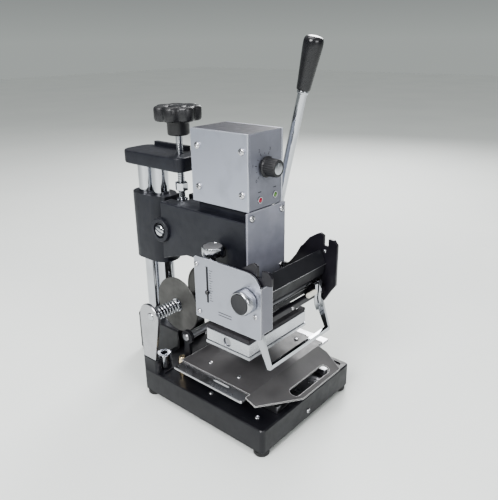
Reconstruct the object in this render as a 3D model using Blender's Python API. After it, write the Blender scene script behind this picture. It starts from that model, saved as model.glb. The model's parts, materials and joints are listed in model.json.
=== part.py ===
"""Bench-top hot foil stamper: lever press, heated head, foil unit and sliding table.

Run with: blender --background --python part.py
Lengths below are millimetres in the machine's own axes: +X to the operator's right,
-Y towards the operator, +Z up, with X = Y = 0 at the middle of the base casting.
Everything hangs from one empty, which puts the object's footprint centre at the world origin.
"""
import math

import bmesh
import bpy
from mathutils import Matrix, Vector

MM = 0.001
GAP = 0.3                      # clearance between pieces that touch

# ---- driving dimensions -------------------------------------------------------------
FRONT_Y, REAR_Y = -98.0, 174.5           # table lip to the back of the column foot
FOOT_H = 5.5
FOOT_X, FOOT_Y = 71.5, 81.3               # middle of each rubber foot
BASE_HALF_W, BASE_HALF_D, BASE_TOP = 80.0, 90.0, 33.5
TRAY_FLOOR = 32.0                        # bottom of the shallow recess in the base
COLUMN_R = 10.0
COLUMN_YS = (132.0, 157.0)               # front and rear guide column
COLUMN_FOOT_TOP = 56.0
YOKE_Z = (255.0, 271.0)
HEAD_HALF_W = 31.0
HEAD_TOP = 221.0
SCREW_Y, SCREW_R = 95.0, 4.0             # head adjusting screw
BOX_HALF_W = 25.0                        # control box without its side covers
BOX_Y = (-29.4, 47.8)
BOX_Z = (231.6, 307.5)
PIVOT_Y, PIVOT_Z = 5.0, 184.0            # lever shaft axis
GEAR_MODULE, GEAR_TEETH = 2.0, 20
TOOTH_PLAY = 0.5                         # taken off the thickness of each tooth
PITCH_R = GEAR_MODULE * GEAR_TEETH / 2
LEVER_X = 55.0
LEVER_TILT = 13.5                        # degrees the lever leans forward at rest
DIE_Z = 82.0                             # underside of the die plate at rest
SIDE_PLATE_X, SIDE_PLATE_T = 54.0, 3.0   # foil unit side plates: inner face, thickness
FEED_Y, FEED_Z, FEED_R = -55.0, 158.0, 8.0
NIP_Y, NIP_Z, NIP_R = -58.0, 144.4, 5.5
BAIL_Y, BAIL_Z = -62.0, 122.0
SPOOL_Y, SPOOL_Z, SPOOL_R = 70.0, 105.5, 33.0
TABLE_TOP, TABLE_T = 57.6, 1.7
THUMB_X, THUMB_Y = -44.0, 5.0            # knurled foil release knob
SLIDER_Y, SLIDER_Z = -1.45, 150.0
DIAL_X, DIAL_Z = -2.0, 273.5
SWITCH_X, SWITCH_Y, SWITCH_Z = 11.5, 46.0, 268.5

# Joint positions, one empty for each moving body.
PIVOTS = {
    "frame": (0, 0, 0),
    "head": (0, COLUMN_YS[0], HEAD_TOP),
    "lift_screw": (0, SCREW_Y, HEAD_TOP),
    "lever": (0, PIVOT_Y, PIVOT_Z),
    "ram": (0, -22.5, DIE_Z),
    "feed": (0, FEED_Y, FEED_Z),
    "nip": (0, NIP_Y, NIP_Z),
    "bail": (0, BAIL_Y, BAIL_Z),
    "release": (THUMB_X, THUMB_Y, 190),
    "slider": (-60, SLIDER_Y, SLIDER_Z),
    "dial": (DIAL_X, BOX_Y[0], DIAL_Z),
    "rocker": (SWITCH_X, SWITCH_Y, SWITCH_Z),
    "spool": (0, SPOOL_Y, SPOOL_Z),
    "carriage": (0, 0, 46),
}

# slot: colour, roughness, metallic
FINISHES = {
    "black_casting": ((0.016, 0.017, 0.022), 0.42, 0.0),
    "black_sheet": ((0.012, 0.010, 0.016), 0.35, 0.0),
    "black_plastic": ((0.012, 0.012, 0.014), 0.33, 0.0),
    "rubber": ((0.02, 0.02, 0.022), 0.75, 0.0),
    "chrome": ((0.82, 0.83, 0.85), 0.12, 1.0),
    "steel": ((0.62, 0.62, 0.63), 0.32, 1.0),
    "zinc_sheet": ((0.55, 0.55, 0.56), 0.38, 1.0),
    "silver_panel": ((0.60, 0.61, 0.66), 0.42, 0.6),
    "grey_panel": ((0.20, 0.205, 0.24), 0.45, 0.4),
    "aluminium": ((0.75, 0.76, 0.77), 0.3, 1.0),
    "table_grey": ((0.06, 0.06, 0.065), 0.45, 0.3),
    "insulation": ((0.045, 0.038, 0.03), 0.7, 0.0),
    "disc_grey": ((0.10, 0.10, 0.105), 0.5, 0.0),
    "brass": ((0.70, 0.58, 0.40), 0.3, 1.0),
    "board_green": ((0.02, 0.12, 0.05), 0.5, 0.0),
    "lens_red": ((0.55, 0.01, 0.03), 0.15, 0.0),
    "lens_green": ((0.05, 0.30, 0.06), 0.15, 0.0),
}

parents = {}
materials = {}


# ---- scene helpers ------------------------------------------------------------------
def clear_scene():
    for item in list(bpy.data.objects):
        bpy.data.objects.remove(item, do_unlink=True)


def make_materials():
    for slot, (colour, roughness, metallic) in FINISHES.items():
        mat = bpy.data.materials.new(slot)
        mat.use_nodes = True
        shader = mat.node_tree.nodes["Principled BSDF"]
        shader.inputs["Base Color"].default_value = (*colour, 1.0)
        shader.inputs["Roughness"].default_value = roughness
        shader.inputs["Metallic"].default_value = metallic
        mat.diffuse_color = (*colour, 1.0)
        materials[slot] = mat


def make_parents():
    origin = bpy.data.objects.new("stamper_origin", None)
    origin.location = (0, -(FRONT_Y + REAR_Y) / 2 * MM, 0)
    bpy.context.collection.objects.link(origin)
    for body, place in PIVOTS.items():
        empty = bpy.data.objects.new("axis_" + body, None)
        empty.location = Vector(place) * MM
        empty.parent = origin
        bpy.context.collection.objects.link(empty)
        parents[body] = empty


def solid(name, shape, slot, body="frame", bevel=0.0, steps=1):
    """Turn a bmesh in millimetres into a named object that hangs from its body's empty."""
    bmesh.ops.recalc_face_normals(shape, faces=shape.faces)
    bmesh.ops.scale(shape, vec=(MM, MM, MM), verts=shape.verts)
    mesh = bpy.data.meshes.new(name)
    shape.to_mesh(mesh)
    shape.free()
    mesh.shade_smooth()
    mesh.set_sharp_from_angle(angle=math.radians(35))
    item = bpy.data.objects.new(name, mesh)
    item.parent = parents[body]
    item.location = -Vector(PIVOTS[body]) * MM
    item["body"] = body
    if slot:
        mesh.materials.append(materials[slot])
    bpy.context.collection.objects.link(item)
    if bevel:
        soften = item.modifiers.new("edges", "BEVEL")
        soften.width = bevel * MM
        soften.segments = steps
        soften.limit_method = "ANGLE"
        soften.angle_limit = math.radians(40)
    return item


def combine(item, shapes, operation):
    for number, shape in enumerate(shapes):
        tool = solid(f"{item.name}_{operation.lower()}_{number}", shape, None, item["body"])
        tool.hide_render = True
        tool.display_type = "WIRE"
        step = item.modifiers.new(f"{operation.lower()}_{number}", "BOOLEAN")
        step.operation = operation
        step.solver = "EXACT"
        step.object = tool
    return item


def carve(item, *shapes):
    return combine(item, shapes, "DIFFERENCE")


def weld(item, *shapes):
    return combine(item, shapes, "UNION")


# ---- shape helpers, all in millimetres ----------------------------------------------
def box(x0, x1, y0, y1, z0, z1):
    shape = bmesh.new()
    bmesh.ops.create_cube(shape, size=1.0)
    bmesh.ops.scale(shape, vec=(x1 - x0, y1 - y0, z1 - z0), verts=shape.verts)
    centre = ((x0 + x1) / 2, (y0 + y1) / 2, (z0 + z1) / 2)
    bmesh.ops.translate(shape, vec=centre, verts=shape.verts)
    return shape


def axis_point(axis, along, u, v):
    """A point from its distance along an axis and its two coordinates across it."""
    if axis == "X":
        return (along, u, v)
    if axis == "Y":
        return (u, along, v)
    return (u, v, along)


def slab(outline, axis, low, high):
    """Extrude a closed outline: (y, z) along X, (x, z) along Y or (x, y) along Z."""
    shape = bmesh.new()
    ends = [[shape.verts.new(axis_point(axis, h, u, v)) for u, v in outline] for h in (low, high)]
    shape.faces.new(ends[0])
    shape.faces.new(ends[1])
    count = len(outline)
    for i in range(count):
        j = (i + 1) % count
        shape.faces.new((ends[0][i], ends[0][j], ends[1][j], ends[1][i]))
    return shape


def arc(cu, cv, radius, start, end, steps):
    """Points on an arc; angles in degrees, both ends included."""
    turn = [math.radians(start + (end - start) * i / steps) for i in range(steps + 1)]
    return [(cu + radius * math.cos(a), cv + radius * math.sin(a)) for a in turn]


def rounded(u0, u1, v0, v1, r, steps=4):
    corners = ((u1 - r, v1 - r, 0), (u0 + r, v1 - r, 90), (u0 + r, v0 + r, 180), (u1 - r, v0 + r, 270))
    return [p for cu, cv, a in corners for p in arc(cu, cv, r, a, a + 90, steps)]


def ring_points(radius, count, phase=0.0):
    turn = [2 * math.pi * i / count + phase for i in range(count)]
    return [(radius * math.cos(a), radius * math.sin(a)) for a in turn]


def turned(profile, axis, u, v, count=28, closed=False):
    """Revolve (radius, along) points about an axis through (u, v).

    An open profile gets a flat cap at each end; a closed one makes a ring with a bore.
    """
    shape = bmesh.new()
    loops = []
    for radius, along in profile:
        loops.append([shape.verts.new(axis_point(axis, along, u + p, v + q))
                      for p, q in ring_points(radius, count)])
    pairs = list(zip(loops, loops[1:]))
    if closed:
        pairs.append((loops[-1], loops[0]))
    else:
        shape.faces.new(loops[0])
        shape.faces.new(loops[-1])
    for a, b in pairs:
        for i in range(count):
            j = (i + 1) % count
            shape.faces.new((a[i], a[j], b[j], b[i]))
    return shape


def rod(axis, u, v, radius, low, high, count=28, chamfer=0.0):
    if not chamfer:
        return turned([(radius, low), (radius, high)], axis, u, v, count)
    inner = radius - chamfer
    return turned([(inner, low), (radius, low + chamfer), (radius, high - chamfer), (inner, high)],
                  axis, u, v, count)


def coil(axis, u, v, radius, wire, turns, low, high, around=9, sides=5):
    """A helical spring: a closed tube swept along a helix."""
    shape = bmesh.new()
    total = int(turns * around)
    loops = []
    for i in range(total + 1):
        angle = 2 * math.pi * i / around
        along = low + (high - low) * i / total
        loop = []
        for k in range(sides):
            b = 2 * math.pi * k / sides
            r = radius + wire * math.cos(b)
            loop.append(shape.verts.new(axis_point(axis, along + wire * math.sin(b),
                                                   u + r * math.cos(angle), v + r * math.sin(angle))))
        loops.append(loop)
    for a, b in zip(loops, loops[1:]):
        for k in range(sides):
            m = (k + 1) % sides
            shape.faces.new((a[k], a[m], b[m], b[k]))
    shape.faces.new(loops[0])
    shape.faces.new(loops[-1])
    return shape


def moved(shape, matrix):
    bmesh.ops.transform(shape, matrix=matrix, verts=shape.verts)
    return shape


# ---- base, columns and yoke ---------------------------------------------------------
def make_base():
    plan = rounded(-BASE_HALF_W, BASE_HALF_W, -BASE_HALF_D, BASE_HALF_D, 5)
    base = solid("base_tray", slab(plan, "Z", FOOT_H, BASE_TOP), "black_casting", bevel=1.2)
    carve(base, slab(rounded(-74, 74, -84, 62, 4), "Z", TRAY_FLOOR, BASE_TOP + 5))
    blocks = [slab(rounded(x - 4.8, x + 4.8, 66, 89.6, 3.5, 3), "Z", 20, 50) for x in (-74.8, 74.8)]
    posts = [box(x - 2, x + 2, 38.5, 46.5, TRAY_FLOOR - 4, 76) for x in (-51, 51)]
    eyes = [rod("X", 42, 79, 8, x - 2.1, x + 2.1, 24) for x in (-51, 51)]
    weld(base, *blocks, *posts, *eyes)
    carve(base, rod("X", 42, 79, 4.8, -60, 60, 20))
    for end, y in (("front", -FOOT_Y), ("rear", FOOT_Y)):
        for side, x in (("left", -FOOT_X), ("right", FOOT_X)):
            foot = turned([(7.4, 0), (8.2, 1), (8.2, FOOT_H - GAP)], "Z", x, y, 24)
            solid(f"foot_{end}_{side}", foot, "rubber")


def make_column_foot():
    plan = arc(10, REAR_Y - 14, 14, 0, 90, 6) + arc(-10, REAR_Y - 14, 14, 90, 180, 6)
    plan += [(-24, 90.4), (24, 90.4)]
    foot = solid("column_foot", slab(plan, "Z", FOOT_H, COLUMN_FOOT_TOP), "black_casting", bevel=1.5)
    weld(foot, box(-38, 38, 90.4, 98, FOOT_H + 2.5, 31))
    carve(foot, *[rod("Z", 0, y, COLUMN_R + GAP, 30, COLUMN_FOOT_TOP + 5) for y in COLUMN_YS])
    for name, y in zip(("column_front", "column_rear"), COLUMN_YS):
        solid(name, rod("Z", 0, y, COLUMN_R, 30.3, YOKE_Z[1] - 4.3, 28, 0.8), "chrome")


def make_yoke():
    low, high = YOKE_Z
    plan = arc(10, REAR_Y - 13, 13, 0, 90, 5) + arc(-10, REAR_Y - 13, 13, 90, 180, 5)
    plan += arc(-13, 82, 10, 180, 270, 5) + arc(13, 82, 10, 270, 360, 5)
    yoke = solid("top_yoke", slab(plan, "Z", low, high), "black_casting", bevel=2.2, steps=2)
    weld(yoke, slab(rounded(17, 22.6, 100, 160, 2, 2), "Z", high - 6, high + 5))
    sockets = [rod("Z", 0, y, COLUMN_R + GAP, low - 5, high - 4) for y in COLUMN_YS]
    carve(yoke, rod("Z", 0, SCREW_Y, SCREW_R + 0.4, low - 5, high + 5, 24), *sockets)


# ---- head ---------------------------------------------------------------------------
def make_head():
    side = [(-28, 156), (36, 156), (42, 166), (60, 166), (99, 153), (99, HEAD_TOP), (-28, HEAD_TOP)]
    head = solid("head_casting", slab(side, "X", -HEAD_HALF_W, HEAD_HALF_W), "black_casting",
                 "head", bevel=1.2)
    sleeve = arc(0, COLUMN_YS[1] - 1, 18.3, 0, 180, 12) + arc(0, COLUMN_YS[0], 18.3, 180, 360, 12)
    weld(head, slab(sleeve, "Z", 137, 219.5), box(-12.5, 12.5, 98.3, 124, 150, 219.5),
         rod("X", 98.6, 188, 14, -34.5, -16, 28, 0.8),
         rod("X", PIVOT_Y, PIVOT_Z, 11, 25, 40, 28, 0.8),
         box(-22, 22, -20, 44, HEAD_TOP - 3, BOX_Z[0] - GAP))
    carve(head, box(-22, 22, -33, 30, 161, 214),
          box(-12.4, 12.4, -33, -12.6, 150, 165),
          rod("X", PIVOT_Y, PIVOT_Z, 6.3, -31.5, 45, 24),
          box(-14, 14, 80, 112, 206, 230),
          rod("X", 98.6, 188, 9.5, -40, -32, 24),
          *[rod("Z", 0, y, COLUMN_R + GAP, 120, 225) for y in COLUMN_YS])
    solid("front_cover", box(-30.7, 30.7, -30.6, -28.3, 156, BOX_Z[0] - GAP), "grey_panel", "head",
          bevel=0.5)


def make_lift_screw():
    cone = [(4.4, 206.3), (5.2, 206.3), (5.4, 211), (6.3, 213), (6.3, 216.5), (4.4, 216.5)]
    solid("swivel_nut", turned(cone, "Z", 0, SCREW_Y, 20, True), "chrome", "head")
    stem = [(3.2, 207), (SCREW_R, 208), (SCREW_R, 308)]
    solid("lift_screw", turned(stem, "Z", 0, SCREW_Y, 20), "chrome", "lift_screw")
    nut = solid("lock_nut", turned([(6.9, 229), (7.5, 229.6), (7.5, 237.9), (6.9, 238.5)], "Z", 0,
                                   SCREW_Y, 6), "chrome", "lift_screw")
    carve(nut, rod("Z", 0, SCREW_Y, SCREW_R + GAP, 225, 245, 20))
    lobes, points, rim = 7, 42, []
    for i in range(points):
        turn = 2 * math.pi * i / points
        radius = 24.8 + 2.0 * math.cos(lobes * turn) - 0.35 * math.cos(2 * lobes * turn)
        rim.append((radius * math.cos(turn), SCREW_Y + radius * math.sin(turn)))
    knob = solid("star_knob", slab(rim, "Z", 308, 324), "black_plastic", "lift_screw", bevel=3, steps=2)
    weld(knob, turned([(11, 292), (12.5, 293.5), (12.5, 305), (15, 309), (15, 312)], "Z", 0, SCREW_Y, 32))
    carve(knob, rod("Z", 0, SCREW_Y, SCREW_R + GAP, 285, 308.4, 20))


# ---- control box --------------------------------------------------------------------
def make_control_box():
    (y0, y1), (z0, z1) = BOX_Y, BOX_Z
    shell = solid("control_box_shell", box(-BOX_HALF_W, BOX_HALF_W, y0, y1, z0, z1), "grey_panel",
                  "head", bevel=0.8)
    carve(shell, box(-40, 40, y0 + 2, y1 - 2, z0 + 2, z1 - 2),
          rod("Y", DIAL_X, DIAL_Z, 3.6, y0 - 5, y0 + 5, 20),
          rod("Y", -10, 241, 2.8, y0 - 5, y0 + 5, 16),
          rod("Y", 14, 242, 2.8, y0 - 5, y0 + 5, 16),
          rod("Y", -10, 250, 6.3, y1 - 5, y1 + 5, 20),
          box(SWITCH_X - 6.5, SWITCH_X + 6.5, y1 - 5, y1 + 5, SWITCH_Z - 10.5, SWITCH_Z + 10.5))
    for name, low in (("box_cover_left", -BOX_HALF_W - 2.5), ("box_cover_right", BOX_HALF_W + GAP)):
        solid(name, box(low, low + 2.2, y0, y1, z0, z1), "silver_panel", "head", bevel=0.4)


def make_electronics():
    y0, y1 = BOX_Y
    board = solid("controller_board", box(-20, 20, -18, 40, 238, 239.6), "board_green", "head")
    posts = [rod("Z", x, y, 2.5, 233.9, 238.6, 12) for x in (-17, 17) for y in (-15, 37)]
    weld(board, box(-14, 12, 8, 34, 239, 261), box(-16, -7, -13, -4, 239, 250),
         rod("Z", 8, -7, 5, 239, 254, 16), box(-12, 7, -19.2, -17.6, 238.6, 268.5),
         rod("Y", DIAL_X, DIAL_Z, 8, y0 + 2.3, -18, 24, 0.4), *posts)
    carve(board, rod("Y", DIAL_X, DIAL_Z, 3.4, y0, -23.4, 20))
    for name, x, z, slot in (("led_red", -10, 241, "lens_red"), ("led_green", 14, 242, "lens_green")):
        lens = [(2.5, -26), (2.5, -30), (1.9, -31), (0.8, -31.6)]
        solid(name, turned(lens, "Y", x, z, 16), slot, "head")
    gland = [(3, 44), (5.9, 44), (5.9, y1 + GAP), (8, y1 + GAP), (8, y1 + 4), (6.2, y1 + 5), (5, 58),
             (3, 58)]
    solid("cord_gland", turned(gland, "Y", -10, 250, 20, True), "black_plastic", "head")
    housing = solid("switch_housing", box(SWITCH_X - 6.2, SWITCH_X + 6.2, 40, 49.5, SWITCH_Z - 10.2,
                                          SWITCH_Z + 10.2), "black_plastic", "head")
    carve(housing, box(SWITCH_X - 5, SWITCH_X + 5, 42.6, 55, SWITCH_Z - 9.2, SWITCH_Z + 9.2))
    face = [(-1, -3), (0.5, -8.2), (3.9, -8), (3, 0), (3.9, 8), (0.5, 8.2), (-1, 3)]
    lean = math.radians(-7)
    side = [(SWITCH_Y + y * math.cos(lean) - z * math.sin(lean),
             SWITCH_Z + y * math.sin(lean) + z * math.cos(lean)) for y, z in face]
    solid("switch_rocker", slab(side, "X", SWITCH_X - 4.5, SWITCH_X + 4.5), "black_plastic", "rocker")


def make_dial():
    grip = [(3, -24), (3, -31.7), (10.5, -31.7), (10.5, -33.2), (9.2, -34.6), (8.7, -45.8), (7.7, -47)]
    knob = solid("dial_knob", turned(grip, "Y", DIAL_X, DIAL_Z, 32), "black_plastic", "dial")
    weld(knob, box(DIAL_X - 0.9, DIAL_X + 0.9, -46.2, -34, DIAL_Z + 5, DIAL_Z + 9.9))


# ---- lever drive --------------------------------------------------------------------
def gear_outline():
    """Involute teeth with a 20 degree pressure angle, as (y, z) points about the shaft."""
    pressure = math.radians(20)
    base_r = PITCH_R * math.cos(pressure)
    tip_r = PITCH_R + GEAR_MODULE
    half = (math.pi * GEAR_MODULE / 2 - TOOTH_PLAY) / (2 * PITCH_R)
    at_base = half + math.tan(pressure) - pressure
    flank = [(PITCH_R - 1.25 * GEAR_MODULE, at_base)]
    for i in range(4):
        radius = base_r + (tip_r - base_r) * i / 3
        roll = math.acos(min(1.0, base_r / radius))
        flank.append((radius, at_base - (math.tan(roll) - roll)))
    points = []
    for tooth in range(GEAR_TEETH):
        centre = 2 * math.pi * tooth / GEAR_TEETH
        for side, edge in ((-1, flank), (1, flank[::-1])):
            for radius, angle in edge:
                turn = centre + side * angle
                points.append((PIVOT_Y + radius * math.cos(turn), PIVOT_Z + radius * math.sin(turn)))
    return points


def rack_outline(low, high, back):
    """Side view of the toothed bar: a straight back, and teeth on the side of the pinion."""
    pitch = math.pi * GEAR_MODULE
    lean = math.tan(math.radians(20))
    pitch_y = PIVOT_Y - PITCH_R
    tip, root = pitch_y + GEAR_MODULE, pitch_y - 1.25 * GEAR_MODULE
    half = (pitch / 2 - TOOTH_PLAY) / 2
    wide, narrow = half + (pitch_y - root) * lean, half - GEAR_MODULE * lean
    points = [(back, low), (root, low)]
    for k in range(-3, 4):
        centre = PIVOT_Z + (k + 0.5) * pitch
        points += [(root, centre - wide), (tip, centre - narrow), (tip, centre + narrow),
                   (root, centre + wide)]
    return points + [(root, high), (back, high)]


def make_lever():
    solid("lever_shaft", rod("X", PIVOT_Y, PIVOT_Z, 6, -30.6, 62, 24, 0.5), "steel", "lever")
    pinion = solid("drive_pinion", slab(gear_outline(), "X", -10, 10), "steel", "lever")
    carve(pinion, rod("X", PIVOT_Y, PIVOT_Z, 6.3, -15, 15, 24))
    lean = Matrix.Rotation(math.radians(LEVER_TILT), 4, "X")
    place = Matrix.Translation((LEVER_X, PIVOT_Y, PIVOT_Z)) @ lean
    arm = solid("lever_arm", rod("X", PIVOT_Y, PIVOT_Z, 13, 48, 62, 28, 1.2), "chrome", "lever")
    weld(arm, moved(rod("Z", 0, 0, 5, 9, 174, 20, 0.5), place))
    carve(arm, rod("X", PIVOT_Y, PIVOT_Z, 6.3, 40, 70, 24))
    profile = [(6.6, 162), (7.3, 163.3), (7.7, 172), (8.8, 189), (9.9, 204), (10.0, 208.5), (9.2, 212),
               (7.0, 213.8), (3.2, 214.5)]
    grip = solid("lever_grip", moved(turned(profile, "Z", 0, 0, 20), place), "black_plastic", "lever")
    carve(grip, moved(rod("Z", 0, 0, 5.3, 150, 174.3, 20), place))


def make_ram():
    ram = solid("ram_rack", slab(rack_outline(105.3, 212, -27), "X", -12, 12), "steel", "ram")
    weld(ram, box(-20, 20, -36, 2, 105.3, 110), box(-21, 21, -27, -18, 206.2, 212))
    for side, x in (("left", -17), ("right", 17)):
        solid(f"return_spring_{side}", coil("Z", x, -22.5, 3.4, 0.6, 7, 162.2, 205.2), "steel", "head")


def make_heater():
    solid("die_plate", box(-50, 50, -48, 14, DIE_Z, 86), "aluminium", "ram", bevel=0.5)
    block = solid("heater_block", box(-49.5, 49.5, -47, 13, 86.3, 100.4), "aluminium", "ram", bevel=0.5)
    carve(block, rod("X", -17, 93.3, 5.3, -55, 55, 24))
    solid("cartridge_heater", rod("X", -17, 93.3, 5, -48, 52, 24, 0.4), "steel", "ram")
    solid("insulation_board", box(-49, 49, -47, 13, 100.7, 105), "insulation", "ram", bevel=0.3)


# ---- foil unit ----------------------------------------------------------------------
def make_side_plates():
    """Outlines with a notch for a take-up spool; the left one clears the guide plate's flange."""
    top = [(-78, 191), (-71, 191), (-71, 183), (-65, 183), (-65, 194), (-60, 196), (-55, 193.5),
           (-46.5, 188), (-38, 177.5), (-35.5, 175.8), (-28.5, 163.5), (-20.5, 153.5), (-17, 150),
           (14, 150), (14, 118), (-68, 118)]
    fronts = {"side_plate_right": [(-75, 130), (-82, 140), (-82, 186)],
              "side_plate_left": [(-69.2, 121), (-69.2, 175.6), (-82, 178), (-82, 186)]}
    for name, sign in (("side_plate_right", 1), ("side_plate_left", -1)):
        low, high = sorted((sign * SIDE_PLATE_X, sign * (SIDE_PLATE_X + SIDE_PLATE_T)))
        plate = solid(name, slab(fronts[name] + top, "X", low, high), "black_sheet", "head")
        pin = sorted((sign * (SIDE_PLATE_X - 4.2), sign * (SIDE_PLATE_X + 1)))
        weld(plate, rod("X", BAIL_Y, BAIL_Z, 3, pin[0], pin[1], 20))
        carve(plate, rod("X", FEED_Y, FEED_Z, 3.4, low - 5, high + 5, 20),
              rod("X", NIP_Y, NIP_Z, 3.4, low - 5, high + 5, 20))


def make_guide_plate():
    side = arc(-54, 168.4, 18, 180, 90, 6) + [(14.4, 186.4), (16.4, 184.4), (16.4, 118.3)]
    side += arc(-68, 122.3, 4, 270, 180, 3)
    guide = solid("guide_plate", slab(side, "X", -60, -58), "silver_panel", "head")
    weld(guide, box(-59.4, -42.5, -71.95, -70, 125, 174))
    carve(guide, box(-63, -55, SLIDER_Y - 1.25, SLIDER_Y + 1.25, 140, 177),
          rod("X", FEED_Y, FEED_Z, 3.4, -65, -55, 20))
    pin = [(0.9, -57.6), (0.9, -60.3), (2.4, -60.3), (2.4, -61.4), (1.8, -62)]
    solid("feed_slider", turned(pin, "X", SLIDER_Y, SLIDER_Z, 14), "black_plastic", "slider")


def make_foil_unit():
    reach = SIDE_PLATE_X - 0.5
    bridge = solid("foil_bridge", box(-reach - 0.2, reach + 0.2, -8, 14, 150, 155.7), "black_sheet",
                   "head", bevel=0.5)
    carve(bridge, rod("Z", THUMB_X, THUMB_Y, 3.3, 140, 160, 20))
    apron = [(-62, 178), (-69.4, 163), (-66, 150), (-64, 150), (-67.3, 163), (-60.1, 177.2)]
    solid("front_apron", slab(apron, "X", -reach, reach), "black_sheet", "head")
    solid("tension_bar", slab(rounded(-69, -63, 129, 136, 1.2, 3), "X", -reach, reach), "black_sheet",
          "head")
    knob = [(2.4, 151), (3, 151.6), (3, 184.5), (10.4, 184.5), (11.2, 185.3), (11.2, 193.7), (10.4, 194.5)]
    solid("release_knob", turned(knob, "Z", THUMB_X, THUMB_Y, 28), "chrome", "release")


def make_rollers():
    length = SIDE_PLATE_X - 0.6
    feed = [(3, -68), (3, -length), (FEED_R, -length), (FEED_R, length), (3, length), (3, 56.5)]
    solid("feed_roller", turned(feed, "X", FEED_Y, FEED_Z, 28), "rubber", "feed")
    rim = [(11.9, -60.4), (12.5, -61), (12.5, -70.2), (11.2, -71.8), (9.8, -71.8), (9.4, -72.5)]
    knob = solid("feed_knob", turned(rim, "X", FEED_Y, FEED_Z, 32), "chrome", "feed")
    carve(knob, rod("X", FEED_Y, FEED_Z, 3.3, -68.3, -50, 20))
    nip = [(3, -56.5), (3, -length), (NIP_R, -length), (NIP_R, length), (3, length), (3, 56.5)]
    solid("nip_roller", turned(nip, "X", NIP_Y, NIP_Z, 24), "chrome", "nip")


def make_bail():
    """U-shaped foil guide: two flat arms on the plates' pins and a cross bar."""
    eye = arc(BAIL_Y, BAIL_Z, 5, -20, 170, 10)
    arm = eye + [(-77.6, 90), (-78, 85.6), (-74, 85), (-71.5, 91)]
    bail = solid("foil_bail", slab(arm, "X", -53.3, -50.3), "chrome", "bail")
    weld(bail, slab(arm, "X", 50.3, 53.3), box(-52, 52, -77.9, -74.1, 85.4, 89.9))
    carve(bail, rod("X", BAIL_Y, BAIL_Z, 3.3, -60, 60, 20))


# ---- foil supply at the back --------------------------------------------------------
def make_supply():
    side = [(68, 50.3), (88, 50.3)] + arc(73.4, 104.2, 15.4, 0, 180, 9)
    for name, low in (("spool_bracket_left", -79), ("spool_bracket_right", 75.5)):
        bracket = solid(name, slab(side, "X", low, low + 3.5), "zinc_sheet", bevel=0.5)
        carve(bracket, rod("X", SPOOL_Y, SPOOL_Z, 4.8, -90, 90, 20))
    solid("spool_shaft", rod("X", SPOOL_Y, SPOOL_Z, 4.5, -79.5, 79.5, 20, 0.5), "chrome", "spool")
    core, edge = 6.6, SPOOL_R
    profile = [(4.8, -39.5), (edge, -39.5), (edge, -37.5), (9, -37.5), (core, -34), (core, 5), (9, 8),
               (edge, 8), (edge, 10), (4.8, 10)]
    solid("foil_spool", turned(profile, "X", SPOOL_Y, SPOOL_Z, 32, True), "disc_grey", "spool")
    solid("spool_spring", coil("X", SPOOL_Y, SPOOL_Z, 6.5, 0.9, 8, -74, -41.3, 10), "chrome")
    solid("rear_guide_rod", rod("X", 42, 79, 4.5, -55, 55, 20, 0.8), "steel")


# ---- sliding table ------------------------------------------------------------------
def make_carriage():
    floor = TRAY_FLOOR + GAP
    rails = solid("slide_rails", box(-46.5, 46.5, -81.5, 59.5, floor, floor + 1.1), "steel")
    weld(rails, *[slab(rounded(x - 3.5, x + 3.5, -82, 60, 1, 1), "Z", floor, 40) for x in (-43.5, 43.5)])
    block = solid("carriage_block", box(-55, 55, -55, 33, 40.3, 52.3), "aluminium", "carriage", bevel=0.6)
    weld(block, *[box(x - 2.8, x + 2.8, -54, 32, 34.2, 44) for x in (-36.8, 36.8)])
    plan = rounded(-79, 79, -61.5, 37.5, 1.5, 2)
    plate = solid("carriage_plate", slab(plan, "Z", 52.6, 55.6), "zinc_sheet", "carriage", bevel=0.4)
    carve(plate, *[slab(rounded(x - 1.5, x + 1.5, -36, -13, 1.4, 3), "Z", 50, 60) for x in (-68.7, 68.7)])
    make_work_table()
    pillar = [(4.4, TRAY_FLOOR + GAP), (4.4, 35), (4.9, 35.6), (4.9, 52), (4.1, 52.6), (4.1, 55), (3.1, 56)]
    solid("stop_pillar", turned(pillar, "Z", -58.6, 45, 20), "brass")
    clamp = solid("stop_clamp", rod("Z", -60.9, 74, 8.7, BASE_TOP + GAP, 50.6, 28, 0.9), "chrome")
    carve(clamp, rod("Z", -60.9, 74, 4.2, 44, 60, 6))


def make_work_table():
    """Dark plate whose front edge slopes down into a finger lip with a long slot."""
    low = TABLE_TOP - TABLE_T
    table = solid("work_table", box(-66, 66, -61, 37.5, low, TABLE_TOP), "table_grey", "carriage")
    outline = [(-66, -59), (-66, -62), (-73, -62), (-73.5, -75), (-24, FRONT_Y), (46, FRONT_Y), (52, -84),
               (56, -74), (56, -62), (56, -59)]
    flat = slab(outline, "Z", low, TABLE_TOP)
    everything = flat.verts[:] + flat.edges[:] + flat.faces[:]
    bmesh.ops.bisect_plane(flat, geom=everything, plane_co=(0, -62, 0), plane_no=(0, 1, 0))
    for vert in flat.verts:
        vert.co.z -= max(0.0, -62 - vert.co.y) * 0.32
    weld(table, flat)
    carve(table, slab(rounded(-30, 36, -93, -82, 5.4, 4), "Z", 30, 70))


clear_scene()
make_materials()
make_parents()
make_base()
make_column_foot()
make_yoke()
make_head()
make_lift_screw()
make_control_box()
make_electronics()
make_dial()
make_lever()
make_ram()
make_heater()
make_side_plates()
make_guide_plate()
make_foil_unit()
make_rollers()
make_bail()
make_supply()
make_carriage()
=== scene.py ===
"""Looks of the bench-top hot foil stamper: finishes, fasteners and fine detail around the CAD."""
import json
import math

import bmesh
import bpy
from mathutils import Matrix, Vector


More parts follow.
